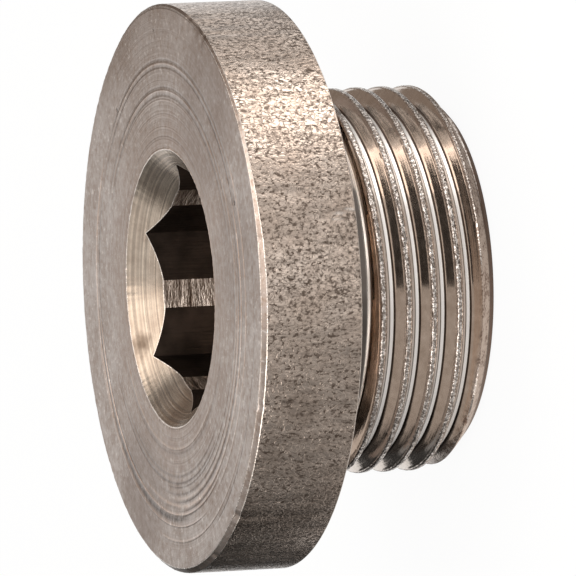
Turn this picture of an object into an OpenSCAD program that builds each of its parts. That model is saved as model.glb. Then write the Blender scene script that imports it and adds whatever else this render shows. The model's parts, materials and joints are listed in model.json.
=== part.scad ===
// Oil drain plug: a turned steel screw plug with a wide flat flange, a broached
// hexagon socket in its face and a short fine-pitch thread. It is one piece.
// The origin is the centre of the sealing face, the underside of the flange.
// +Z points to the face with the socket, and the shank hangs below the origin.

/* [Flange] */
// Outside diameter of the flange
flange_d = 32; // [30:0.5:40]
// Thickness of the flange, from its sealing face to its front face
flange_t = 5.8; // [5:0.1:9]
// Bevel where the flange's side meets its front face
front_bevel = 0.35; // [0.1:0.05:0.8]
// Bevel where the flange's side meets its sealing face
back_bevel = 0.1; // [0.05:0.05:0.8]

/* [Hexagon socket] */
// Size of the hexagon key that turns the plug
key_size = 12; // [8:1:14]
// Clearance between the key and the socket, across the flats
key_clearance = 0.1; // [0.05:0.01:0.2]
// How deep the hexagon is broached below the front face
hex_depth = 7.5; // [5:0.1:8]
// How much wider than the flats the hole is drilled before broaching
pilot_extra = 0.1; // [0.02:0.01:0.3]
// Depth of the drilled hole past the hexagon, where the chips go
chip_room = 0.8; // [0.2:0.1:1.2]
// Included angle of the drill's point
drill_angle = 118; // [118:1:140]
// Width of the countersink's ring around the drilled hole, seen from the front
sink_w = 1.7; // [0.5:0.1:2.5]
// Included angle of the countersink
sink_angle = 90; // [80:1:120]

/* [Shank] */
// Length of the shank, from the sealing face to its end
shank_l = 10; // [9:0.5:20]
// How much wider than the thread the collar is that centres the sealing ring
collar_over = 0.1; // [0.02:0.01:0.5]
// Length of the plain collar under the flange
collar_l = 2.1; // [1:0.1:3]
// Depth of the relief groove below the thread's roots, on the radius
relief_under = 0.2; // [0.05:0.05:0.4]
// Width of the relief groove between the collar and the thread
relief_w = 0.5; // [0.4:0.1:1.5]
// How far the end face's edge lies below the thread's roots, on the radius
end_under = 0.35; // [0.1:0.05:1]
// Length of the bevel that leads the thread in at the end
lead_l = 1.1; // [0.5:0.1:2]

/* [Thread] */
// Nominal diameter of the metric thread
thread_size = 22; // [20:1:27]
// Pitch of the thread, one right-hand start
pitch = 1.5; // [1:0.25:2]
// How much smaller than nominal the thread's crests are turned
crest_loss = 0.25; // [0.1:0.01:0.3]
// Play that the thread's flanks leave, measured on the radius
flank_play = 0.05; // [0.02:0.01:0.1]
// Angle around the axis at which the groove meets the end face
thread_start = 222; // [0:1:359]

/* [Hidden] */
$fn = 96;
// How far a cutting shape stands proud of the face it cuts
cut = 1;

// The socket: the hole is drilled to the key's width, then broached
hex_af = key_size + key_clearance;
hex_corner_d = hex_af / cos(30);
pilot_d = hex_af + pilot_extra;
pilot_depth = hex_depth + chip_room;
drill_tip_l = pilot_d / 2 / tan(drill_angle / 2);
sink_d = pilot_d + 2 * sink_w;
sink_depth = sink_w / tan(sink_angle / 2);

// The metric profile: its pitch line and its roots lie at these fractions of
// the sharp V's height below the nominal diameter
flank_angle = 30;
pitch_line = 3 / 8;
root_line = 17 / 24;
vee_h = pitch / 2 / tan(flank_angle);
crest_r = (thread_size - crest_loss) / 2;
pitch_r = thread_size / 2 - pitch_line * vee_h - flank_play;
root_r = thread_size / 2 - root_line * vee_h - flank_play;
// Radius at which neighbouring turns of the groove would meet
sharp_r = pitch_r + vee_h / 2;
cutter_r = (crest_r + sharp_r) / 2;

collar_r = (thread_size + collar_over) / 2;
relief_r = root_r - relief_under;
end_r = root_r - end_under;

// The groove runs from a turn below the end face to half a turn into the collar,
// but is cut from the shank only, so that it ends at the collar's shoulder
turn_steps = 48;
groove_low = -shank_l - pitch;
groove_high = -collar_l + pitch / 2;
groove_turns = (groove_high - groove_low) / pitch;
// The angle where the sweep begins, so that the groove's middle crosses the end
// face's plane at thread_start
first_angle = thread_start + 360 * (groove_low + shank_l) / pitch;

// Half the width of the thread's groove at a radius
function groove_half(r) = pitch / 4 + (r - pitch_r) * tan(flank_angle);

// The turned head: flange and collar, with the flange's two edges bevelled
module head_blank() {
    rotate_extrude()
        polygon([
            [0, -collar_l],
            [collar_r, -collar_l],
            [collar_r, 0],
            [flange_d / 2 - back_bevel, 0],
            [flange_d / 2, back_bevel],
            [flange_d / 2, flange_t - front_bevel],
            [flange_d / 2 - front_bevel, flange_t],
            [0, flange_t]
        ]);
}

// The turned shank below the collar: relief groove, thread blank, lead-in
module shank_blank() {
    rotate_extrude()
        polygon([
            [0, -shank_l],
            [end_r, -shank_l],
            [crest_r, -shank_l + lead_l],
            [crest_r, -collar_l - relief_w],
            [relief_r, -collar_l - relief_w],
            [relief_r, -collar_l],
            [0, -collar_l]
        ]);
}

// What the threading tool takes away: its profile swept along a helix
module thread_groove() {
    profile = [
        [root_r, -groove_half(root_r)],
        [cutter_r, -groove_half(cutter_r)],
        [cutter_r, groove_half(cutter_r)],
        [root_r, groove_half(root_r)]
    ];
    corners = len(profile);
    steps = ceil(groove_turns * turn_steps);
    points = [
        for (i = [0:steps], p = profile)
            let (a = first_angle + 360 * i / turn_steps)
            [p[0] * cos(a), p[0] * sin(a), groove_low + pitch * i / turn_steps + p[1]]
    ];
    walls = [
        for (i = [0:steps - 1], j = [0:corners - 1])
            let (
                a = i * corners + j,
                b = i * corners + (j + 1) % corners
            )
            each [[a, b, a + corners], [b, b + corners, a + corners]]
    ];
    first_cap = [for (j = [corners - 1:-1:0]) j];
    last_cap = [for (j = [0:corners - 1]) steps * corners + j];
    polyhedron(points, concat([first_cap], walls, [last_cap]), convexity = 10);
}

// The socket: a drilled and countersunk hole with a hexagon broached in it
module hex_socket() {
    translate([0, 0, flange_t - hex_depth])
        cylinder(h = hex_depth + cut, d = hex_corner_d, $fn = 6);
    translate([0, 0, flange_t - pilot_depth])
        cylinder(h = pilot_depth + cut, d = pilot_d);
    translate([0, 0, flange_t - pilot_depth - drill_tip_l])
        cylinder(h = drill_tip_l, d1 = 0, d2 = pilot_d);
    translate([0, 0, flange_t - sink_depth])
        cylinder(h = sink_depth, d1 = pilot_d, d2 = sink_d);
}

module drain_plug() {
    color("darkgray")
        difference() {
            union() {
                head_blank();
                difference() {
                    shank_blank();
                    thread_groove();
                }
            }
            hex_socket();
        }
}

drain_plug();
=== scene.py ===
"""Looks of an oil drain plug: a turned steel screw plug with a hexagon socket.

Named sizes are in millimetres and the meshes in metres, in the CAD model's
frame: the origin is the centre of the sealing face, +Z points to the socket.
"""
import json
import math

import bmesh
import bpy
from mathutils import Matrix, Vector, noise

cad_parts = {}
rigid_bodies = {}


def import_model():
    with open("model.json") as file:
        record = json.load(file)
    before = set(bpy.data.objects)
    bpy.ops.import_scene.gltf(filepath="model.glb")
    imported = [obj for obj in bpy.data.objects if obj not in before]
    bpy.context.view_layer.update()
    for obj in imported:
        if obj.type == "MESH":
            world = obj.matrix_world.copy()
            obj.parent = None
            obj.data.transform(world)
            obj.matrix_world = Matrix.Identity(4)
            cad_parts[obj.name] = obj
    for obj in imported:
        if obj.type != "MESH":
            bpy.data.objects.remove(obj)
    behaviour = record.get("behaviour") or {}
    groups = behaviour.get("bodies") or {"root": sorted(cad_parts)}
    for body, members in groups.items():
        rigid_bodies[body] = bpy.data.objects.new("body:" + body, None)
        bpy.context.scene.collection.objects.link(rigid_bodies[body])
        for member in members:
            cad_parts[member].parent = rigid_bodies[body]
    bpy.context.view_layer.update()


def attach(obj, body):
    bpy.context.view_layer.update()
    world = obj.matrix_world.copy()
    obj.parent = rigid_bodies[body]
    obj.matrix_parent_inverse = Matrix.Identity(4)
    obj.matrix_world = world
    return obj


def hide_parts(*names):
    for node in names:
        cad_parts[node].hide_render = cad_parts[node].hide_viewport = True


MM = 0.001

# The turned shape. The flange and the shank's end lie a hair inside the CAD
# model's box, and both bevels are narrower than in CAD, as the photograph shows
FLANGE_R = 15.99
FLANGE_T = 5.799
FRONT_BEVEL = 0.27
BACK_BEVEL = 0.04
COLLAR_R = 11.05
COLLAR_L = 2.1
RELIEF_W = 0.5
SHANK_L = 9.999
LEAD_L = 1.1

# The thread's metric profile. Its pitch line and its roots lie at fractions of
# the sharp V's height below the nominal radius, less the play of the flanks
THREAD_R = 11.0
PITCH = 1.5
FLANK_ANGLE = math.radians(30)
FLANK_PLAY = 0.05
THREAD_START = 222.0
CREST_R = 10.875
VEE_H = PITCH / 2 / math.tan(FLANK_ANGLE)
PITCH_R = THREAD_R - 3 / 8 * VEE_H - FLANK_PLAY
ROOT_R = THREAD_R - 17 / 24 * VEE_H - FLANK_PLAY
RELIEF_R = ROOT_R - 0.2
END_R = ROOT_R - 0.35

# The socket: a hole drilled for a 12 mm key, countersunk, then broached
KEY = 12.0
HEX_HALF = (KEY + 0.1) / 2
PILOT_R = (KEY + 0.2) / 2
SINK_R = PILOT_R + 1.7
HEX_DEPTH = 7.5
PILOT_DEPTH = 8.3
TIP_L = PILOT_R / math.tan(math.radians(59))

# Each edge is rounded by a narrow lip. LIP is how far it reaches to either side,
# and the other two are shares of it: how far a ring that keeps the next face
# flat stands off the corner, and how far the lip's middle is drawn in
LIP = 0.035
LIP_STANDOFF = 1.8
LIP_DRAW = 0.3
# The countersink's cone begins this far inside its edge
SINK_INSET = 3 * LIP
# Rings that keep the face flat beside its worn edges, counted from the flange's
# side and from the countersink's edge
RIM_RINGS = (0.85, 1.2)
SINK_RINGS = (0.6, 0.25)
# Where rings lie on the countersink and on the broached walls, from 0 to 1
SINK_SHARES = (0.35, 0.7, 1.0)
WALL_SHARES = (0.03, 0.35, 0.7, 1.0)
# How far the ledge below the hexagon slopes down to the drilled hole
LEDGE = 0.01
# Radii of the small faces at the drilled hole's point and amid the end face
POINT_R = 0.01
END_POINT_R = 0.02

# The mesh: columns round the axis, a multiple of twelve for the hexagon
COLUMNS = 480
ROWS_PER_TURN = 20
TURNS = 7
# Points closer than this are merged, and edges sharper than this stay crisp
WELD = 0.002
SHARP_EDGE = math.radians(32)
# How near a point lies to a face or a wall that it counts as part of
ON_EDGE = 0.01
ON_WALL = 0.003

# Rings that the tool left on the face: radius, half width, depth, and the middle
# and reach of the arc in degrees. A positive depth is painted dark as shade, and a
# negative depth is a raised ring painted light as a highlight
FACE_RINGS = [
    (13.0, 0.26, 1.9, 138, 50), (12.7, 0.14, -2.4, 155, 62), (13.36, 0.1, -1.6, 145, 55),
    (13.12, 0.22, -2.4, 88, 36), (12.84, 0.15, 0.9, -8, 60), (12.64, 0.1, -1.0, -12, 55),
    (12.44, 0.14, 1.0, -8, 70), (12.54, 0.16, 1.5, 104, 45), (12.36, 0.2, -2.4, -128, 58),
    (12.1, 0.15, 1.3, -132, 60), (11.84, 0.2, -1.6, -140, 50), (11.6, 0.13, 0.8, -150, 50),
    (13.1, 0.16, -1.8, -105, 50), (12.5, 0.14, 1.2, -80, 40), (11.32, 0.14, 0.9, -8, 75),
    (11.12, 0.09, -1.0, -5, 60), (10.87, 0.15, 1.0, -8, 75), (10.6, 0.1, -0.6, -8, 60),
    (11.5, 0.18, -1.2, -105, 60), (11.2, 0.14, 0.8, -140, 60), (12.2, 0.2, -1.6, 178, 30),
    (10.99, 0.16, 1.1, 165, 55), (10.58, 0.14, 0.8, 172, 50), (9.3, 0.18, 0.8, 180, 70),
    (14.2, 0.12, -1.2, -160, 40), (14.6, 0.1, 0.9, -120, 40), (9.0, 0.14, -1.2, 168, 60),
    (8.6, 0.1, 0.5, 0, 60),
]
# Pits in the face: x, y and reach
FACE_PITS = [(10.63, 7.45, 0.16), (3.97, -12.21, 0.15), (14.57, 0.1, 0.12)]
# Dark patches painted on the face: x, y, reach and strength. The broad ones are
# painted shade where the turned face reflects less light, and the small one lies by a pit
FACE_DARK_PATCHES = [
    (9.0, -8.0, 6.5, 0.5), (1.0, -12.0, 5.0, 0.42), (-11.0, 7.0, 5.5, 0.6),
    (-11.0, -7.0, 4.0, 0.12), (4.16, -11.9, 0.5, 0.4),
]
# The middle of a stain in the countersink
SINK_STAIN = (-2.75, 6.82, 5.36)
# Scratches and rubs on the flange's side: angle in degrees, height, half width
# and colour
DARK_MARK, LIGHT_MARK = "#4A3D34", "#D8CCC2"
SIDE_MARKS = [
    (-45.9, 0.68, 0.14, DARK_MARK), (-79.3, 0.99, 0.10, LIGHT_MARK), (-80.5, 1.14, 0.08, LIGHT_MARK),
    (-85.2, 1.87, 0.12, DARK_MARK), (-78.6, 0.20, 0.12, LIGHT_MARK), (-122.2, 5.45, 0.20, "#A89A8F"),
    (-127.1, 3.05, 0.24, "#B0A195"), (-129.4, 1.49, 0.20, "#B0A195"), (-116.7, 4.12, 0.15, DARK_MARK),
    (-165.2, 4.46, 0.10, LIGHT_MARK), (-160.8, 2.60, 0.06, LIGHT_MARK),
]
# A highlight is painted on the front bevel round this angle, and the bevel is narrower
# along another stretch: its middle, its reach and how far its ends fade, in degrees
BEVEL_HIGHLIGHT_AT = -80
NARROW_BEVEL = (-30, 40, 20)
# Dents in the rim: middle and reach in degrees, and depth
RIM_DENTS = [
    (-27, 6.5, 0.16), (-31.5, 1.6, 0.1), (-22, 1.5, 0.07), (-58, 1.2, 0.05), (-84, 1.6, 0.04),
    (-118, 1.4, 0.05), (-146, 1.6, 0.07), (-163, 1.2, 0.05),
]
# How uneven the countersink's lip and the rim are, how far in from the rim the
# wear reaches, and how far down the flange's side
SINK_WEAR = 0.05
RIM_WEAR = 0.035
RIM_REACH = 0.8
SIDE_REACH = 0.7
# The countersink's lip lies within this distance of its radius
SINK_REACH = 0.2
# The wear's bumps are about a third of a millimetre long at the rim
WEAR_BUMPS = 55

# The camera: where it stands, where it looks and its focal length in pixels
IMAGE_PX = 576
FOCAL_PX = 10610.0
CAMERA_AT = Vector((-26.978, -563.708, 193.601)) * MM
CAMERA_LOOKS = Vector((0.0447409, 0.9441966, -0.3263296))
IMAGE_UP = Vector((0.9971201, -0.0622303, -0.0433474))

# Half the floor's width, and how much of its white is its own: the rest is lit
# by the lamps, so that the plug's shadow shows on it
FLOOR_HALF = 3000
FLOOR_GLOW = 0.93
# How bright the surroundings are for what they light, and for what sees them
SURROUNDINGS = 0.64
SEEN_WHITE = 1.0
WHITE = (1.0, 1.0, 1.0, 1.0)
# A bent card has an edge every few degrees
CARD_STEP = 4


def linear(code):
    """An sRGB hex colour as linear RGBA."""
    parts = [int(code[i : i + 2], 16) / 255 for i in (1, 3, 5)]
    return [c / 12.92 if c <= 0.04045 else ((c + 0.055) / 1.055) ** 2.4 for c in parts] + [1.0]


def add(tree, kind, *inputs, out=0, named=None, **settings):
    """Adds a node with its settings, values and links, and returns one output."""
    node = tree.nodes.new(kind)
    for key, value in settings.items():
        setattr(node, key, value)
    for key, value in [*enumerate(inputs), *(named or {}).items()]:
        if isinstance(value, bpy.types.NodeSocket):
            tree.links.new(value, node.inputs[key])
        elif value is not None:
            node.inputs[key].default_value = value
    return node.outputs[out] if node.outputs else None


# The kinds of node that are used most. RANGE takes a value, the range that it
# comes from and the range that it goes to, which is 0 to 1 where none is given
MATH = "ShaderNodeMath"
VECTOR = "ShaderNodeVectorMath"
RANGE = "ShaderNodeMapRange"
NOISE = "ShaderNodeTexNoise"
MIX = "ShaderNodeMix"
# A mix's share of the top colour, its two colours, and what makes it mix colours
SHARE, BASE, TOP = 0, 6, 7
RGBA = {"data_type": "RGBA", "out": 2}
# Noise along a single value gives rings
RINGS = {"noise_dimensions": "1D"}


def new_material(name):
    """An empty node material."""
    material = bpy.data.materials.new(name)
    material.use_nodes = True
    material.node_tree.nodes.clear()
    return material


def place_mm(tree):
    """The object's own coordinates in millimetres, so that a pattern's scale is
    the number of its features in a millimetre."""
    coordinates = add(tree, "ShaderNodeTexCoord", out="Object")
    return add(tree, VECTOR, coordinates, named={"Scale": 1 / MM}, operation="SCALE")


def from_axis(tree, place):
    """Each point's place without its height, and its distance from the axis."""
    flat = add(tree, VECTOR, place, (1.0, 1.0, 0.0), operation="MULTIPLY")
    return flat, add(tree, VECTOR, flat, operation="LENGTH", out="Value")


def bearing(degrees):
    """The direction straight out from the axis at an angle."""
    turn = math.radians(degrees)
    return Vector((math.cos(turn), math.sin(turn), 0.0))


def bare_steel(material, tone, roughness, height, relief):
    """Ends a material as bare steel. Its surface rises and falls with a height,
    by a relief in millimetres."""
    tree = material.node_tree
    bump = add(tree, "ShaderNodeBump", named={"Height": height, "Strength": 1.0, "Distance": relief * MM})
    shader = add(tree, "ShaderNodeBsdfPrincipled", named={
        "Base Color": tone, "Metallic": 1.0, "Roughness": roughness, "Normal": bump})
    add(tree, "ShaderNodeOutputMaterial", shader)
    return material


def face_turned_steel():
    """Face-turned steel: fine concentric feed marks and a few deeper rings on a
    dull warm grey, mottled with brown specks and light rubs from handling. The
    rings, pits and feed marks carry painted shade and painted highlights, broad
    dark patches are painted shade, and the bevel has a painted highlight."""
    material = new_material("face_turned_steel")
    tree = material.node_tree
    place = place_mm(tree)
    flat, radius = from_axis(tree, place)
    outward = add(tree, VECTOR, flat, operation="NORMALIZE")
    # Feed marks 0.1 mm apart are too fine to show, so they are drawn 0.2 mm apart
    feed = add(tree, NOISE, named={"W": radius, "Scale": 5.0, "Detail": 3.0, "Roughness": 0.7}, **RINGS)
    # Clouds are 3 mm across, grain and specks under half a millimetre, grit 0.1 mm
    cloud = add(tree, NOISE, named={"Vector": place, "Scale": 0.32, "Detail": 3.0, "Roughness": 0.5})
    grain = add(tree, NOISE, named={"Vector": place, "Scale": 2.2, "Detail": 4.0, "Roughness": 0.65})
    speck = add(tree, NOISE, named={
        "Vector": place, "Scale": 3.4, "Detail": 2.0, "Roughness": 0.6, "Distortion": 0.4})
    grit = add(tree, NOISE, named={"Vector": place, "Scale": 9.0, "Detail": 2.0})
    blend = add(tree, RANGE, add(tree, MATH, cloud, grain, operation="ADD"), 0.8, 1.2)
    tone = add(tree, MIX, named={SHARE: blend, BASE: linear("#8E7E73"), TOP: linear("#A3978F")}, **RGBA)
    brown = add(tree, RANGE, speck, 0.58, 0.7, 0.0, 0.55)
    tone = add(tree, MIX, named={SHARE: brown, BASE: tone, TOP: linear("#76604F")}, **RGBA)
    light = add(tree, RANGE, speck, 0.4, 0.3, 0.0, 0.6)
    tone = add(tree, MIX, named={SHARE: light, BASE: tone, TOP: linear("#CBC1B9")}, **RGBA)
    # The middle is browner than the rim
    middle = add(tree, MATH, cloud, 3.0, radius, operation="MULTIPLY_ADD")
    middle = add(tree, RANGE, middle, 10.0, 13.0, 0.5, 0.0)
    tone = add(tree, MIX, named={SHARE: middle, BASE: tone, TOP: linear("#8F7C6F")}, **RGBA)
    # Feed marks are worn away towards the rim
    worn = add(tree, RANGE, radius, 10.2, 13.0, 1.0, 0.35)
    depth = add(tree, MATH, add(tree, RANGE, feed, 0.3, 0.7, -0.3, 0.3), worn, operation="MULTIPLY")
    # The tool dug deeper rings in places and threw up raised ones, all broken up; their arcs carry painted
    # shade and painted highlights
    broken = add(tree, RANGE, grain, 0.35, 0.6, 1.3, 0.75)
    for ring, width, deep, angle, reach in FACE_RINGS:
        away = add(tree, MATH, radius, ring, operation="SUBTRACT")
        away = add(tree, MATH, away, operation="ABSOLUTE")
        line = add(tree, RANGE, away, 0.0, width, deep, 0.0, interpolation_type="SMOOTHSTEP")
        facing = add(tree, VECTOR, outward, bearing(angle), operation="DOT_PRODUCT", out="Value")
        edge = math.cos(math.radians(reach))
        window = add(tree, RANGE, facing, edge, edge + 0.4 * (1 - edge))
        window = add(tree, MATH, window, broken, operation="MULTIPLY")
        depth = add(tree, MATH, line, window, depth, operation="MULTIPLY_ADD")
    for x, y, reach in FACE_PITS:
        away = add(tree, VECTOR, place, (x, y, FLANGE_T), operation="DISTANCE", out="Value")
        depth = add(tree, MATH, add(tree, RANGE, away, reach / 2, reach, 2.5, 0.0), depth, operation="ADD")
    # Painted shade: broad dark patches where the turned face reflects less light
    for x, y, reach, strength in FACE_DARK_PATCHES:
        away = add(tree, VECTOR, place, (x, y, FLANGE_T), operation="DISTANCE", out="Value")
        dark_patch = add(tree, RANGE, away, reach / 3, reach, strength, 0.0, interpolation_type="SMOOTHSTEP")
        tone = add(tree, MIX, named={SHARE: dark_patch, BASE: tone, TOP: linear("#6E5C50")}, **RGBA)
    # The countersink left a light lip. The bevel is painted darker as shade, but for one stretch with a
    # painted highlight
    wobble = add(tree, MATH, speck, 0.35, radius, operation="MULTIPLY_ADD")
    lip = add(tree, RANGE, wobble, SINK_R + 0.2, SINK_R + 0.32, 1.0, 0.0)
    # Painted highlight on the bevel round BEVEL_HIGHLIGHT_AT
    facing = add(tree, VECTOR, outward, bearing(BEVEL_HIGHLIGHT_AT), operation="DOT_PRODUCT", out="Value")
    rubbed = add(tree, RANGE, facing, 0.9, 0.97, 0.0, 1.0)
    bevel_r = FLANGE_R - FRONT_BEVEL
    bevel = add(tree, RANGE, radius, bevel_r - 0.02, bevel_r + 0.02, 0.0, 1.0)
    lip = add(tree, MATH, rubbed, bevel, lip, operation="MULTIPLY_ADD")
    depth = add(tree, MATH, lip, -1.6, depth, operation="MULTIPLY_ADD")
    # Painted shade: the rest of the bevel is painted darker
    dull = add(tree, MATH, add(tree, MATH, 1.0, rubbed, operation="SUBTRACT"), bevel, operation="MULTIPLY")
    depth = add(tree, MATH, dull, 0.9, depth, operation="MULTIPLY_ADD")
    # Painted shade and highlight: what is deep is painted dark and what is raised is painted light
    shade = add(tree, RANGE, depth, -2.6, 2.6, 1.75, 0.36)
    tone = add(tree, VECTOR, tone, named={"Scale": shade}, operation="SCALE")
    roughness = add(tree, RANGE, grain, 0.35, 0.65, 0.42, 0.3)
    height = add(tree, MATH, depth, -1.0, operation="MULTIPLY")
    height = add(tree, MATH, grit, 0.2, height, operation="MULTIPLY_ADD")
    return bare_steel(material, tone, roughness, height, 0.024)


def drawn_bar_skin():
    """As-drawn bar skin: small smooth plateaus cut up by curly furrows, which
    hold dark scale, so that it glitters in the lamp and is speckled elsewhere."""
    material = new_material("drawn_bar_skin")
    tree = material.node_tree
    place = place_mm(tree)
    # The plateaus are about 0.2 mm wide and a little longer along the bar
    along = add(tree, VECTOR, place, (1.0, 1.0, 0.7), operation="MULTIPLY")
    curls = add(tree, NOISE, named={
        "Vector": along, "Scale": 3.9, "Detail": 1.0, "Roughness": 0.5, "Distortion": 0.35})
    peel = add(tree, NOISE, named={"Vector": along, "Scale": 6.0, "Detail": 2.5, "Roughness": 0.6})
    # Clouds are 2.5 mm across, and streaks half a millimetre wide run along the bar
    cloud = add(tree, NOISE, named={"Vector": place, "Scale": 0.4, "Detail": 4.0, "Roughness": 0.6})
    streaks = add(tree, VECTOR, place, (2.2, 2.2, 0.35), operation="MULTIPLY")
    streaks = add(tree, NOISE, named={"Vector": streaks, "Scale": 1.0, "Detail": 4.0, "Roughness": 0.6})
    # Pits lie about 0.4 mm apart
    pits = add(tree, VECTOR, place, (1.0, 1.0, 0.6), operation="MULTIPLY")
    pits = add(tree, "ShaderNodeTexVoronoi", named={"Vector": pits, "Scale": 2.6}, out="Distance")
    # Furrows run where the curls cross their middle value
    away = add(tree, MATH, add(tree, MATH, curls, 0.5, operation="SUBTRACT"), operation="ABSOLUTE")
    furrow = add(tree, RANGE, away, 0.0, 0.085, 1.0, 0.0, interpolation_type="SMOOTHSTEP")
    hole = add(tree, RANGE, peel, 0.49, 0.36, 0.0, 1.0, interpolation_type="SMOOTHSTEP")
    worn = add(tree, RANGE, cloud, 0.35, 0.65, 0.5, 1.0)
    furrow = add(tree, MATH, add(tree, MATH, furrow, hole, operation="MAXIMUM"), worn, operation="MULTIPLY")
    furrow = add(tree, MATH, furrow, add(tree, RANGE, pits, 0.2, 0.1, 0.0, 0.9), operation="MAXIMUM")
    blend = add(tree, RANGE, cloud, 0.35, 0.65)
    tone = add(tree, MIX, named={SHARE: blend, BASE: linear("#B3A193"), TOP: linear("#C4B4A7")}, **RGBA)
    shade = add(tree, RANGE, peel, 0.3, 0.7, 0.74, 1.24)
    shade = add(tree, MATH, shade, add(tree, RANGE, streaks, 0.3, 0.7, 0.72, 1.26), operation="MULTIPLY")
    tone = add(tree, VECTOR, tone, named={"Scale": shade}, operation="SCALE")
    scale = add(tree, MATH, hole, 0.45, operation="MULTIPLY")
    scale = add(tree, MATH, furrow, 0.5, scale, operation="MULTIPLY_ADD")
    tone = add(tree, MIX, named={SHARE: scale, BASE: tone, TOP: linear("#4E4036")}, **RGBA)
    for angle, height, width, colour in SIDE_MARKS:
        spot = bearing(angle) * FLANGE_R + Vector((0.0, 0.0, height))
        away = add(tree, VECTOR, place, spot, operation="SUBTRACT")
        away = add(tree, VECTOR, away, (1.0, 1.0, 0.3), operation="MULTIPLY")
        away = add(tree, VECTOR, away, operation="LENGTH", out="Value")
        away = add(tree, MATH, peel, 0.25, away, operation="MULTIPLY_ADD")
        mark = add(tree, RANGE, away, width + 0.02, width + 0.16, 0.8, 0.0)
        tone = add(tree, MIX, named={SHARE: mark, BASE: tone, TOP: linear(colour)}, **RGBA)
    roughness = add(tree, RANGE, furrow, 0.0, 1.0, 0.18, 0.42)
    height = add(tree, MATH, furrow, -0.6, operation="MULTIPLY")
    height = add(tree, MATH, peel, 0.8, height, operation="MULTIPLY_ADD")
    return bare_steel(material, tone, roughness, height, 0.015)


def cut_thread_steel():
    """Single-point cut steel: bright flanks with fine lines that run round with
    the cut, torn and glittering crests, roots with a painted highlight and painted
    shade, and a collar painted dark as the shade under the flange."""
    material = new_material("cut_thread_steel")
    tree = material.node_tree
    place = place_mm(tree)
    _, radius = from_axis(tree, place)
    level = add(tree, "ShaderNodeSeparateXYZ", place, out="Z")
    # Cut lines are 0.1 mm apart, tears 0.6 mm long and beads of metal 0.15 mm wide
    lines = add(tree, NOISE, named={"W": radius, "Scale": 9.0, "Detail": 2.0}, **RINGS)
    tear = add(tree, NOISE, named={"Vector": place, "Scale": 1.6, "Detail": 4.0, "Roughness": 0.6})
    beads = add(tree, NOISE, named={"Vector": place, "Scale": 7.0, "Detail": 2.0, "Roughness": 0.6})
    # The thread's crests and its lead-in cone are torn, and the collar isn't
    crest = add(tree, RANGE, radius, CREST_R - 0.1, CREST_R - 0.04, 0.0, 1.0)
    cut = add(tree, RANGE, level, -COLLAR_L - RELIEF_W / 2, -COLLAR_L - RELIEF_W, 0.0, 1.0)
    crest = add(tree, MATH, crest, cut, operation="MULTIPLY")
    root = add(tree, RANGE, radius, ROOT_R + 0.005, ROOT_R + 0.001, 0.0, 1.0)
    cone_top = LEAD_L - SHANK_L
    cone = add(tree, RANGE, level, cone_top + 0.1, cone_top - 0.05, 0.0, 1.0)
    torn = add(tree, MATH, crest, add(tree, MATH, cone, 0.8, operation="MULTIPLY"), operation="MAXIMUM")
    blend = add(tree, RANGE, tear, 0.35, 0.65)
    tone = add(tree, MIX, named={SHARE: blend, BASE: linear("#CBBEB3"), TOP: linear("#D9CDC3")}, **RGBA)
    # The roots are painted bright as a highlight, with painted shade in their corners and on what faces the
    # end
    corner = add(tree, MATH, radius, ROOT_R + 0.05, operation="SUBTRACT")
    corner = add(tree, RANGE, add(tree, MATH, corner, operation="ABSOLUTE"), 0.04, 0.06, 0.9, 0.0)
    tone = add(tree, MIX, named={SHARE: corner, BASE: tone, TOP: linear("#514238")}, **RGBA)
    normal = add(tree, "ShaderNodeTexCoord", out="Normal")
    lit = add(tree, RANGE, add(tree, "ShaderNodeSeparateXYZ", normal, out="Z"), -0.2, 0.0, 0.0, 1.0)
    root_highlight_and_shade = add(tree, MIX, named={SHARE: lit, BASE: linear("#6E5D52"), TOP: linear("#F7F1EB")}, **RGBA)
    tone = add(tree, MIX, named={SHARE: root, BASE: tone, TOP: root_highlight_and_shade}, **RGBA)
    bead = add(tree, RANGE, beads, 0.47, 0.62, 0.0, 1.0)
    bead = add(tree, MIX, named={SHARE: bead, BASE: linear("#93877E"), TOP: linear("#E9E0D8")}, **RGBA)
    tone = add(tree, MIX, named={SHARE: crest, BASE: tone, TOP: bead}, **RGBA)
    # The lead-in cone is blotched with brown
    blotch = add(tree, RANGE, add(tree, MATH, tear, beads, operation="ADD"), 1.0, 0.8, 0.0, 0.85)
    blotch = add(tree, MATH, blotch, cone, operation="MULTIPLY")
    tone = add(tree, MIX, named={SHARE: blotch, BASE: tone, TOP: linear("#7A6152")}, **RGBA)
    # Painted shade: the collar under the flange is painted almost black brown
    dark_patch = add(tree, RANGE, level, -COLLAR_L, -COLLAR_L + 0.1, 0.0, 0.85)
    tone = add(tree, MIX, named={SHARE: dark_patch, BASE: tone, TOP: linear("#2E2520")}, **RGBA)
    height = add(tree, MATH, tear, 0.2, operation="MULTIPLY")
    height = add(tree, MATH, lines, 0.12, height, operation="MULTIPLY_ADD")
    rough = add(tree, MATH, beads, torn, operation="MULTIPLY")
    height = add(tree, MATH, rough, 1.2, height, operation="MULTIPLY_ADD")
    roughness = add(tree, RANGE, tear, 0.3, 0.7, 0.08, 0.14)
    roughness = add(tree, MATH, root, 0.2, roughness, operation="MULTIPLY_ADD")
    roughness = add(tree, MATH, torn, 0.14, roughness, operation="MULTIPLY_ADD")
    return bare_steel(material, tone, roughness, height, 0.03)


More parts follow.
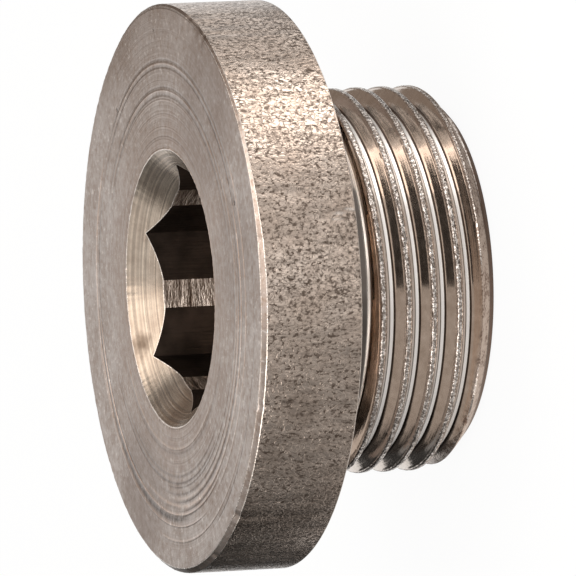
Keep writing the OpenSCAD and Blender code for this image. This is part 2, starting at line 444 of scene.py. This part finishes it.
def broached_steel():
    """Broached steel: walls painted dark as the shade deep in the socket, with scores along the key's way.
    """
    material = new_material("broached_steel")
    tree = material.node_tree
    place = place_mm(tree)
    # Scores are about 0.2 mm wide and 3 mm long
    scores = add(tree, VECTOR, place, (6.0, 6.0, 0.3), operation="MULTIPLY")
    scores = add(tree, NOISE, named={"Vector": scores, "Scale": 1.0, "Detail": 3.0})
    wall_mottle = add(tree, NOISE, named={"Vector": place, "Scale": 0.6, "Detail": 4.0})
    blend = add(tree, RANGE, wall_mottle, 0.35, 0.65)
    # Painted shade: the walls' two tones are painted near black, as the shade deep in the socket
    tone = add(tree, MIX, named={SHARE: blend, BASE: linear("#3F3731"), TOP: linear("#5D5149")}, **RGBA)
    return bare_steel(material, tone, 0.38, scores, 0.03)


def drilled_steel():
    """Drilled steel: brown strips that the broach left, ringed by the drill."""
    material = new_material("drilled_steel")
    tree = material.node_tree
    place = place_mm(tree)
    # The drill's rings are 0.1 to 0.3 mm apart along the hole, and break up
    rings = add(tree, VECTOR, place, (0.7, 0.7, 3.0), operation="MULTIPLY")
    rings = add(tree, NOISE, named={"Vector": rings, "Scale": 1.0, "Detail": 4.0, "Roughness": 0.65})
    blend = add(tree, RANGE, rings, 0.3, 0.7)
    tone = add(tree, MIX, named={SHARE: blend, BASE: linear("#5C4D42"), TOP: linear("#E4D6CA")}, **RGBA)
    return bare_steel(material, tone, 0.3, rings, 0.2)


def countersunk_steel():
    """Countersunk steel: a bright cone with close tool rings that chattered, and
    one dark stain."""
    material = new_material("countersunk_steel")
    tree = material.node_tree
    place = place_mm(tree)
    _, radius = from_axis(tree, place)
    # Tool rings are 0.15 mm apart, and the chatter comes every millimetre
    rings = add(tree, NOISE, named={"W": radius, "Scale": 7.0, "Detail": 3.0, "Roughness": 0.7}, **RINGS)
    chatter = add(tree, NOISE, named={"Vector": place, "Scale": 0.9, "Detail": 3.0, "Roughness": 0.6})
    blend = add(tree, RANGE, chatter, 0.35, 0.65)
    tone = add(tree, MIX, named={SHARE: blend, BASE: linear("#A49485"), TOP: linear("#B9AA9A")}, **RGBA)
    shade = add(tree, RANGE, rings, 0.3, 0.7, 0.62, 1.2)
    tone = add(tree, VECTOR, tone, named={"Scale": shade}, operation="SCALE")
    away = add(tree, VECTOR, place, SINK_STAIN, operation="DISTANCE", out="Value")
    away = add(tree, MATH, chatter, 0.8, away, operation="MULTIPLY_ADD")
    dark_patch = add(tree, RANGE, away, 0.65, 1.3, 0.8, 0.0)
    tone = add(tree, MIX, named={SHARE: dark_patch, BASE: tone, TOP: linear("#4A3A2E")}, **RGBA)
    height = add(tree, MATH, chatter, 0.3, rings, operation="MULTIPLY_ADD")
    return bare_steel(material, tone, 0.22, height, 0.02)


def burnished_edge():
    """Burnished edges: the bevels and burrs rubbed bright and uneven by use."""
    material = new_material("burnished_edge")
    tree = material.node_tree
    place = place_mm(tree)
    # Rubs are half a millimetre long, and the burrs' beads under 0.2 mm
    rub = add(tree, NOISE, named={"Vector": place, "Scale": 2.2, "Detail": 4.0, "Roughness": 0.7})
    beads = add(tree, NOISE, named={"Vector": place, "Scale": 6.0, "Detail": 2.0})
    blend = add(tree, RANGE, rub, 0.38, 0.62)
    tone = add(tree, MIX, named={SHARE: blend, BASE: linear("#BBAEA3"), TOP: linear("#DDD3CA")}, **RGBA)
    return bare_steel(material, tone, 0.24, beads, 0.035)


def thread_tree(material):
    """Geometry nodes for the thread: a grid bent round the axis, row by row
    along the helix, whose radius follows the metric profile. Both ends are
    held at their faces, and the lead-in cone trims the last turns."""
    tree = bpy.data.node_groups.new("helical_thread", "GeometryNodeTree")
    tree.interface.new_socket(name="Thread", in_out="OUTPUT", socket_type="NodeSocketGeometry")
    sizes = {
        "Columns": COLUMNS, "Rows per turn": ROWS_PER_TURN, "Turns": TURNS,
        "Pitch": PITCH, "Flank slope": PITCH / math.tan(FLANK_ANGLE), "Pitch radius": PITCH_R,
        "Root radius": ROOT_R, "Crest radius": CREST_R, "End radius": END_R,
        "Low end": -SHANK_L, "High end": -COLLAR_L - RELIEF_W, "Lead-in": LEAD_L,
        "Start": THREAD_START / 360, "Root rounding": 0.09, "Crest rounding": 0.05,
        "Flank bow": 0.006, "Crest wear": 0.05, "Seed": 3,
    }
    for name, value in sizes.items():
        kind = "NodeSocketInt" if isinstance(value, int) else "NodeSocketFloat"
        tree.interface.new_socket(name=name, in_out="INPUT", socket_type=kind)
    size = add(tree, "NodeGroupInput").node.outputs

    across = add(tree, MATH, size["Columns"], 1.0, operation="ADD")
    rows = add(tree, MATH, size["Rows per turn"], size["Turns"], 1.0, operation="MULTIPLY_ADD")
    grid = add(tree, "GeometryNodeMeshGrid", 1.0, 1.0, across, rows)
    spot = add(tree, "ShaderNodeSeparateXYZ", add(tree, "GeometryNodeInputPosition")).node.outputs
    turn = add(tree, MATH, spot[0], 0.5, operation="ADD")
    row = add(tree, MATH, spot[1], 0.5, operation="ADD")
    row = add(tree, MATH, row, size["Turns"], operation="MULTIPLY")

    # The rows crowd at the roots and the crests, where they lie half as far apart
    swing = 4 * math.pi
    wave = add(tree, MATH, add(tree, MATH, row, swing, operation="MULTIPLY"), operation="SINE")
    row = add(tree, MATH, wave, -0.5 / swing, row, operation="MULTIPLY_ADD")

    # Height of each point: whole rows are the middle of the groove
    height = add(tree, MATH, row, turn, operation="ADD")
    height = add(tree, MATH, height, size["Start"], operation="SUBTRACT")
    height = add(tree, MATH, height, 1.0, operation="SUBTRACT")
    height = add(tree, MATH, height, size["Pitch"], size["Low end"], operation="MULTIPLY_ADD")
    height = add(tree, "ShaderNodeClamp", height, size["Low end"], size["High end"])

    # Distance from the groove's middle along the axis, from 0 to half a pitch
    above = add(tree, MATH, height, size["Low end"], operation="SUBTRACT")
    phase = add(tree, MATH, above, size["Pitch"], operation="DIVIDE")
    phase = add(tree, MATH, phase, size["Start"], operation="ADD")
    phase = add(tree, MATH, phase, turn, operation="SUBTRACT")
    phase = add(tree, MATH, phase, 0.5, operation="ADD")
    away = add(tree, MATH, add(tree, MATH, phase, operation="FRACT"), 0.5, operation="SUBTRACT")
    away = add(tree, MATH, away, operation="ABSOLUTE")
    flank = add(tree, MATH, away, 0.25, operation="SUBTRACT")
    flank = add(tree, MATH, flank, size["Flank slope"], size["Pitch radius"], operation="MULTIPLY_ADD")

    # The flanks are bowed outwards a little, so that what they reflect narrows
    rise = add(tree, MATH, size["Crest radius"], size["Root radius"], operation="SUBTRACT")
    rise = add(tree, MATH, rise, 0.5, operation="MULTIPLY")
    middle = add(tree, MATH, size["Crest radius"], size["Root radius"], operation="ADD")
    middle = add(tree, MATH, middle, 0.5, operation="MULTIPLY")
    part = add(tree, MATH, add(tree, MATH, flank, middle, operation="SUBTRACT"), rise, operation="DIVIDE")
    bow = add(tree, MATH, 1.0, add(tree, MATH, part, part, operation="MULTIPLY"), operation="SUBTRACT")
    flank = add(tree, MATH, bow, size["Flank bow"], flank, operation="MULTIPLY_ADD")
    radius = add(tree, MATH, flank, size["Root radius"], size["Root rounding"], operation="SMOOTH_MAX")
    radius = add(tree, MATH, radius, size["Crest radius"], size["Crest rounding"], operation="SMOOTH_MIN")

    # Torn crests: the tool left them ragged, with tears of about 0.3 mm, and more
    # so in stretches of about 7 mm. Noise on a circle of radius 1 has no seam
    angle = add(tree, MATH, turn, 2 * math.pi, operation="MULTIPLY")
    east = add(tree, MATH, angle, operation="COSINE")
    north = add(tree, MATH, angle, operation="SINE")
    climb = add(tree, MATH, height, 0.2, operation="MULTIPLY")
    spot = {"Vector": add(tree, "ShaderNodeCombineXYZ", east, north, climb), "W": size["Seed"]}
    tear = {**spot, "Scale": 34.0, "Detail": 3.0, "Roughness": 0.65}
    tear = add(tree, NOISE, named=tear, noise_dimensions="4D")
    stretch = {**spot, "Scale": 1.6, "Detail": 1.0}
    stretch = add(tree, NOISE, named=stretch, noise_dimensions="4D")
    tear = add(tree, RANGE, tear, 0.45, 0.75, 0.0, 1.0)
    stretch = add(tree, RANGE, stretch, 0.4, 0.6, 0.25, 1.0)
    near = add(tree, RANGE, away, 0.39, 0.43, 0.0, 1.0)
    loss = add(tree, MATH, add(tree, MATH, tear, stretch, operation="MULTIPLY"), near, operation="MULTIPLY")
    loss = add(tree, MATH, loss, size["Crest wear"], operation="MULTIPLY")
    radius = add(tree, MATH, radius, loss, operation="SUBTRACT")

    # The lead-in cone, whose edge is rounded as much as the crests
    widen = add(tree, MATH, size["Crest radius"], size["End radius"], operation="SUBTRACT")
    widen = add(tree, MATH, widen, size["Lead-in"], operation="DIVIDE")
    cone = add(tree, MATH, above, widen, size["End radius"], operation="MULTIPLY_ADD")
    radius = add(tree, MATH, radius, cone, size["Crest rounding"], operation="SMOOTH_MIN")

    x = add(tree, MATH, radius, east, operation="MULTIPLY")
    y = add(tree, MATH, radius, north, operation="MULTIPLY")
    point = add(tree, "ShaderNodeCombineXYZ", x, y, height)
    point = add(tree, VECTOR, point, named={"Scale": MM}, operation="SCALE")
    bent = add(tree, "GeometryNodeSetPosition", named={"Geometry": grid, "Position": point})
    welded = add(tree, "GeometryNodeMergeByDistance", named={"Geometry": bent, "Distance": WELD * MM})
    real = add(tree, "GeometryNodeRealizeInstances", welded)
    faced = add(tree, "GeometryNodeSetMaterial", named={"Geometry": real, "Material": material})
    add(tree, "NodeGroupOutput", faced)
    return tree, sizes


def thread_mesh(material):
    """The thread between the end face and the relief groove, as a plain mesh."""
    tree, sizes = thread_tree(material)
    holder = bpy.data.objects.new("thread_holder", bpy.data.meshes.new("thread_holder"))
    bpy.context.scene.collection.objects.link(holder)
    modifier = holder.modifiers.new("helical_thread", "NODES")
    modifier.node_group = tree
    for item in tree.interface.items_tree:
        if item.in_out == "INPUT":
            modifier[item.identifier] = sizes[item.name]
    graph = bpy.context.evaluated_depsgraph_get()
    mesh = bpy.data.meshes.new_from_object(holder.evaluated_get(graph))
    bpy.data.objects.remove(holder)
    return mesh


# Where each finish stands in the plug's list, and the angles of even columns
FACE, SIDE, THREAD, BROACHED, DRILLED, SINK, RIM = range(7)
EVEN = [2 * math.pi * k / COLUMNS for k in range(COLUMNS)]


def open_edge(shape, height):
    """The points of the open edge at a height, by column."""
    ring = [None] * COLUMNS
    for vert in shape.verts:
        if vert.is_boundary and abs(vert.co.z - height * MM) < ON_EDGE * MM:
            turn = math.atan2(vert.co.y, vert.co.x) / (2 * math.pi)
            ring[round(turn * COLUMNS) % COLUMNS] = vert
    return ring


def grow(shape, last, radii, heights, finish, angles=EVEN):
    """Adds a ring of points and joins it to the last one in one finish. Its
    radii and heights are one value each, or one for each column."""
    radii = radii if isinstance(radii, list) else [radii] * COLUMNS
    heights = heights if isinstance(heights, list) else [heights] * COLUMNS
    ring = [
        shape.verts.new(Vector((r * math.cos(a), r * math.sin(a), z)) * MM)
        for r, z, a in zip(radii, heights, angles)
    ]
    for k in range(COLUMNS):
        n = (k + 1) % COLUMNS
        shape.faces.new([last[k], last[n], ring[n], ring[k]]).material_index = finish
    return ring


def soften(profile):
    """Adds to each corner of a turned profile its narrow lip, with a ring on
    either side that keeps the faces next to it flat."""
    rings = []
    for i, (radius, height, finish, lip) in enumerate(profile):
        if not lip:
            rings.append((radius, height, finish))
            continue
        corner = Vector((radius, height))
        back = (Vector(profile[i - 1][:2]) - corner).normalized()
        ahead = (Vector(profile[i + 1][:2]) - corner).normalized()
        rings.append((*(corner + back * lip * LIP_STANDOFF), finish))
        rings.append((*(corner + back * lip), finish))
        rings.append((*(corner + (back + ahead) * lip * LIP_DRAW), RIM))
        rings.append((*(corner + ahead * lip), RIM))
        rings.append((*(corner + ahead * lip * LIP_STANDOFF), profile[i + 1][2]))
    return rings


def turn_head(shape, last):
    """The collar and the flange, from the thread's shoulder to the countersink.
    Returns their last ring."""
    # Radius, height, finish up to there, and how far the corner's lip reaches
    profile = soften([
        (RELIEF_R, -COLLAR_L - RELIEF_W, THREAD, 0),
        (RELIEF_R, -COLLAR_L, THREAD, 0),
        (COLLAR_R, -COLLAR_L, THREAD, LIP),
        (COLLAR_R, 0.0, THREAD, 0),
        (FLANGE_R - BACK_BEVEL, 0.0, FACE, BACK_BEVEL / 4),
        (FLANGE_R, BACK_BEVEL, RIM, BACK_BEVEL / 4),
        (FLANGE_R, FLANGE_T - FRONT_BEVEL, SIDE, LIP),
        (FLANGE_R - FRONT_BEVEL, FLANGE_T, FACE, LIP),
        *((FLANGE_R - inset, FLANGE_T, FACE, 0) for inset in RIM_RINGS),
        *((SINK_R + inset, FLANGE_T, FACE, 0) for inset in SINK_RINGS),
        (SINK_R, FLANGE_T, FACE, LIP),
        (SINK_R - SINK_INSET, FLANGE_T - SINK_INSET, SINK, 0),
    ])
    # The last ring is the countersink's first, which has its own columns
    for radius, height, finish in profile[:-1]:
        last = grow(shape, last, radius, height, finish)
    return last


def socket_angles():
    """Column angles that put columns on the strips' edges on each flat."""
    half_flat = math.pi / 6
    half_strip = math.acos(HEX_HALF / PILOT_R)
    steps = COLUMNS // 12
    inside = round(half_strip / half_flat * steps)
    angles = []
    for flat in range(6):
        for i in range(-steps, steps):
            if abs(i) <= inside:
                turn = half_strip * i / inside
            else:
                share = (abs(i) - inside) / (steps - inside)
                turn = math.copysign(half_strip + (half_flat - half_strip) * share, i)
            angles.append(half_flat * (2 * flat + 1) + turn)
    return angles


def cone_height(radius):
    """Height of the countersink's cone, which is as deep as it is wide."""
    return FLANGE_T - (SINK_R - radius)


def cut_socket(shape, last):
    """The countersink, which meets the hexagon's walls in six scallops, the
    walls with the drilled strips on them, and the drilled hole to its point."""
    angles = socket_angles()
    walls = [max(HEX_HALF / math.cos(a % (math.pi / 3) - math.pi / 6), PILOT_R) for a in angles]
    start = SINK_R - SINK_INSET
    last = grow(shape, last, start, cone_height(start), SINK, angles)
    for share in SINK_SHARES:
        radii = [start + (wall + LIP - start) * share for wall in walls]
        last = grow(shape, last, radii, [cone_height(r) for r in radii], SINK, angles)
    last = grow(shape, last, walls, [cone_height(r) for r in walls], RIM, angles)

    bottom = FLANGE_T - HEX_DEPTH
    brinks = [cone_height(r) - LIP / 2 for r in walls]
    last = grow(shape, last, walls, brinks, RIM, angles)
    for share in WALL_SHARES:
        heights = [brink + (bottom - brink) * share for brink in brinks]
        last = grow(shape, last, walls, heights, BROACHED, angles)
    for face in shape.faces:
        if face.material_index == BROACHED:
            if all(math.hypot(v.co.x, v.co.y) < (PILOT_R + ON_WALL) * MM for v in face.verts):
                face.material_index = DRILLED

    hole_end = FLANGE_T - PILOT_DEPTH
    for radius, height in (
        (PILOT_R, bottom - LEDGE),
        (PILOT_R, hole_end),
        (PILOT_R / 2, hole_end - TIP_L / 2),
        (POINT_R, hole_end - TIP_L + POINT_R),
    ):
        last = grow(shape, last, radius, height, DRILLED, angles)
    shape.faces.new(last).material_index = DRILLED


def close_end(shape, last):
    """The flat end face."""
    for radius in (END_R - LIP, END_R / 2, END_POINT_R):
        last = grow(shape, last, radius, -SHANK_L, FACE)
    shape.faces.new(last).material_index = FACE


def knock(shape):
    """Unevenness along the countersink's lip and the flange's rim, whose bevel
    is narrower in one stretch and has dents."""
    corner = Vector((FLANGE_R, FLANGE_T))
    narrow_at, narrow_reach, narrow_fade = NARROW_BEVEL
    for vert in shape.verts:
        place = vert.co / MM
        spot = Vector((math.hypot(place.x, place.y), place.z))
        radius = spot.x
        if place.z < FLANGE_T - SIDE_REACH or radius < SINK_R - SINK_REACH:
            continue
        turn = math.degrees(math.atan2(place.y, place.x))
        rough = 0.5 + 0.5 * noise.noise(place.normalized() * WEAR_BUMPS)
        if radius < SINK_R + SINK_REACH:
            vert.co.z -= SINK_WEAR * rough * MM
            continue
        if (spot - corner).length < 2 * FRONT_BEVEL:
            wide = min(1.0, max(0.0, (abs(turn - narrow_at) - narrow_reach) / narrow_fade))
            spot = corner + (spot - corner) * (0.5 + 0.5 * wide)
            vert.co = Vector((place.x * spot.x / radius, place.y * spot.x / radius, spot.y)) * MM
        if radius > FLANGE_R - RIM_REACH:
            depth = RIM_WEAR * rough
            for middle, reach, most in RIM_DENTS:
                share = max(0.0, 1 - abs(turn - middle) / reach)
                depth += most * share * share * (3 - 2 * share)
            depth *= max(0.0, 1 - abs(radius - FLANGE_R + FRONT_BEVEL / 2) / RIM_REACH)
            vert.co.z -= depth * MM
            vert.co.xy = vert.co.xy * (1 - depth / radius)


def build_plug(finishes):
    """One closed mesh: the thread from its tree, and turned rings for the rest."""
    shape = bmesh.new()
    shape.from_mesh(thread_mesh(finishes[THREAD]))
    for face in shape.faces:
        face.material_index = THREAD
    shoulder = open_edge(shape, -COLLAR_L - RELIEF_W)
    foot = open_edge(shape, -SHANK_L)
    cut_socket(shape, turn_head(shape, shoulder))
    close_end(shape, foot)
    knock(shape)
    bmesh.ops.recalc_face_normals(shape, faces=shape.faces)
    for face in shape.faces:
        face.smooth = True
    for edge in shape.edges:
        edge.smooth = edge.calc_face_angle() <= SHARP_EDGE
    mesh = bpy.data.meshes.new("plug_body")
    shape.to_mesh(mesh)
    shape.free()
    for finish in finishes:
        mesh.materials.append(finish)
    plug = bpy.data.objects.new("plug_body", mesh)
    bpy.context.scene.collection.objects.link(plug)
    return plug


def studio_point(near, top, height):
    """A place in the studio: millimetres towards the camera, towards the
    photograph's upper edge, and above the sealing face."""
    side = CAMERA_AT.xy.normalized()
    return Vector((near * side.x - top * side.y, near * side.y + top * side.x, height)) * MM


def lamp(name, place, target, size, radiance, tint):
    """A soft rectangular lamp. A radiance of 1 shows as white in a mirror."""
    data = bpy.data.lights.new(name, "AREA")
    data.shape = "RECTANGLE"
    data.size, data.size_y = (s * MM for s in size)
    data.energy = radiance * math.pi * data.size * data.size_y
    data.color = linear(tint)[:3]
    light = bpy.data.objects.new(name, data)
    light.visible_camera = False
    spot, aim = studio_point(*place), studio_point(*target)
    light.matrix_world = Matrix.LocRotScale(spot, (aim - spot).to_track_quat("-Z", "Y"), None)
    bpy.context.scene.collection.objects.link(light)


def card(name, stations, radii=(60.0, 60.0), tint="#FFFFFF"):
    """A bent card round the plug that only the metal reflects. Each station is
    an angle counted from the camera towards the photograph's top, the card's
    lower and upper edge there, and how bright it is. The radii are those of its
    lower and upper edge."""
    points, tones = [], []
    for (a, low_a, high_a, tone_a), (b, low_b, high_b, tone_b) in zip(stations, stations[1:]):
        steps = max(1, round(abs(b - a) / CARD_STEP))
        for i in range(steps + (b == stations[-1][0])):
            share = i / steps
            turn = math.radians(a + (b - a) * share)
            for radius, start, end in zip(radii, (low_a, high_a), (low_b, high_b)):
                height = start + (end - start) * share
                points.append(studio_point(radius * math.cos(turn), radius * math.sin(turn), height))
                tones.append(tone_a + (tone_b - tone_a) * share)
    faces = [(i, i + 1, i + 3, i + 2) for i in range(0, len(points) - 2, 2)]
    mesh = bpy.data.meshes.new(name)
    mesh.from_pydata(points, [], faces)
    mesh.attributes.new("tone", "FLOAT", "POINT").data.foreach_set("value", tones)
    material = new_material(name)
    tree = material.node_tree
    tone = add(tree, "ShaderNodeAttribute", out="Fac", attribute_name="tone")
    add(tree, "ShaderNodeOutputMaterial", add(tree, "ShaderNodeEmission", linear(tint), tone))
    mesh.materials.append(material)
    piece = bpy.data.objects.new(name, mesh)
    bpy.context.scene.collection.objects.link(piece)
    piece.visible_camera = piece.visible_diffuse = piece.visible_shadow = False
    piece.visible_transmission = piece.visible_volume_scatter = False


def seen_directly(tree):
    """1 for what the camera, a mirror or glass sees, and 0 for what lights."""
    path = add(tree, "ShaderNodeLightPath").node.outputs
    seen = add(tree, MATH, path["Is Camera Ray"], path["Is Glossy Ray"], operation="MAXIMUM")
    return add(tree, MATH, seen, path["Is Transmission Ray"], operation="MAXIMUM")


def build_surroundings():
    """White surroundings for what the camera and the metal see."""
    world = bpy.data.worlds.new("studio")
    bpy.context.scene.world = world
    world.use_nodes = True
    tree = world.node_tree
    tree.nodes.clear()
    plain = add(tree, "ShaderNodeBackground", WHITE, SURROUNDINGS)
    white = add(tree, "ShaderNodeBackground", WHITE, SEEN_WHITE)
    add(tree, "ShaderNodeOutputWorld", add(tree, "ShaderNodeMixShader", seen_directly(tree), plain, white))


def build_floor():
    """A white floor that keeps the plug's shadow. The metal doesn't see it,
    because some cards reach below it."""
    half, level = FLOOR_HALF * MM, -SHANK_L * MM
    mesh = bpy.data.meshes.new("floor")
    corners = [(-half, -half, level), (half, -half, level), (half, half, level), (-half, half, level)]
    mesh.from_pydata(corners, [], [(0, 1, 2, 3)])
    floor = bpy.data.objects.new("floor", mesh)
    bpy.context.scene.collection.objects.link(floor)
    material = new_material("pale_floor")
    tree = material.node_tree
    paint = add(tree, "ShaderNodeBsdfPrincipled", named={"Base Color": linear("#F4F4F2"), "Roughness": 0.9})
    glow = add(tree, "ShaderNodeEmission", WHITE, SEEN_WHITE)
    share = add(tree, MATH, seen_directly(tree), FLOOR_GLOW, operation="MULTIPLY")
    add(tree, "ShaderNodeOutputMaterial", add(tree, "ShaderNodeMixShader", share, paint, glow))
    mesh.materials.append(material)
    floor.visible_glossy = floor.visible_shadow = False


def hang_lamps():
    """The studio's four soft lamps."""
    # Above the shank in the photograph and beyond its end: the bright bands on
    # the flange's side and on the thread
    lamp("side_lamp", (55, 170, -85), (0, 0, -2), (120, 105), 2.25, "#FFFBF7")
    # Over the standing plug: the bright stretch of the countersink
    lamp("top_lamp", (-10, 102, 205), (-10, 102, 0), (204, 220), 1.5, "#FFF4EA")
    # In front of the standing plug, on its left and on its right
    lamp("left_lamp", (150, -140, 105), (0, 0, 0), (200, 170), 2.6, "#FFFAF6")
    lamp("right_lamp", (195, 95, 105), (0, 0, 0), (140, 170), 2.6, "#FFFAF6")


def hang_cards():
    """The cards that give the metal its dark and light stretches. Upper and
    lower are meant as in the photograph."""
    # The dark stretch of the thread's flanks, above their middle
    card("groove_card", [
        (-6, -62, -28, 0.06), (60, -62, -28, 0.06), (70, -46, -28, 0.06), (80, -30, -28, 0.06),
    ])
    # Their brown stretch, below the middle
    card("low_card", [
        (-6, -66, -28, 0.7), (-20, -66, -24, 0.7), (-37, -66, -18.5, 0.7), (-80, -66, -18.5, 0.68),
        (-97, -66, -18.5, 0.66), (-110, -66, -17.2, 0.62), (-120, -66, -14, 0.58),
    ])
    # The lower half of the flange's side, and the dark wedge at the thread's foot
    card("side_card", [
        (-6, -28, 8, 0.85), (-20, -24, 8, 0.58), (-37, -18.5, 8, 0.4), (-63, -18.5, 10, 0.32),
        (-80, -18.5, 16, 0.22), (-92, -18.5, 22, 0.05), (-97, -18.5, 22, 0.03), (-110, -17.2, 22, 0.04),
        (-120, -14, 22, 0.05), (-121, -24, 22, 0.05), (-150, -24, 22, 0.04),
    ])
    # The upper part of the countersink
    card("haze_card", [(-112, 22, 70, 0.25), (-160, 22, 70, 0.25)])
    # The dull skin near the upper end of the flange's side
    card("shank_card", [(99, -42, -20, 0.08), (136, -30, -17, 0.08)])
    # The brown stretch of the flanks near their upper end
    card("brow_card", [
        (95, -52, -40, 0.22), (104, -42, -26, 0.22), (111, -33, -14, 0.22), (118, -24, -4, 0.22),
        (128, -11, 14, 0.22), (136, -2, 16, 0.24),
    ], radii=(150.0, 150.0))
    # A light band across that dull skin
    card("glow_card", [(105, -62, -45, 1.6), (121, -62, -45, 1.6)], radii=(150.0, 150.0))
    # The face's upper part, the flanks' upper end and the countersink's lower part
    card("far_card", [(99, 2, 48, 0.28), (136, 2, 38, 0.28), (168, 2, 27, 0.28)], tint="#FFE9D8")
    # The start of the countersink's lower part
    card("gap_card", [(124, 42, 80, 0.25), (150, 42, 80, 0.25)])
    # The lead-in cone
    card("end_card", [
        (-180, -10.7, -10.7, 0.6), (-90, -10.7, -10.7, 0.78), (-10, -10.7, -10.7, 0.62),
        (25, -10.7, -10.7, 0.38), (80, -10.7, -10.7, 0.38), (120, -10.7, -10.7, 0.6),
        (180, -10.7, -10.7, 0.6),
    ], radii=(0.1, 14.0), tint="#FFF1E6")


def build_camera():
    """The photograph's camera, from its place, its direction and the direction
    of the photograph's upper edge."""
    data = bpy.data.cameras.new("camera")
    data.sensor_fit = "AUTO"
    data.sensor_width = 36.0
    data.lens = FOCAL_PX / IMAGE_PX * data.sensor_width
    data.clip_start, data.clip_end = 0.01, 100.0
    camera = bpy.data.objects.new("camera", data)
    back = -CAMERA_LOOKS.normalized()
    up = (IMAGE_UP - IMAGE_UP.dot(back) * back).normalized()
    turn = Matrix((up.cross(back), up, back)).transposed()
    camera.matrix_world = Matrix.Translation(CAMERA_AT) @ turn.to_4x4()
    bpy.context.scene.collection.objects.link(camera)
    bpy.context.scene.camera = camera


for old in list(bpy.data.objects):
    bpy.data.objects.remove(old)
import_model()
bpy.context.scene.view_settings.view_transform = "Standard"

build_camera()
build_surroundings()
build_floor()
hang_lamps()
hang_cards()
# The finishes in the order of FACE to RIM
plug = build_plug([
    face_turned_steel(), drawn_bar_skin(), cut_thread_steel(), broached_steel(),
    drilled_steel(), countersunk_steel(), burnished_edge(),
])
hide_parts("drain_plug")
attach(plug, "root")
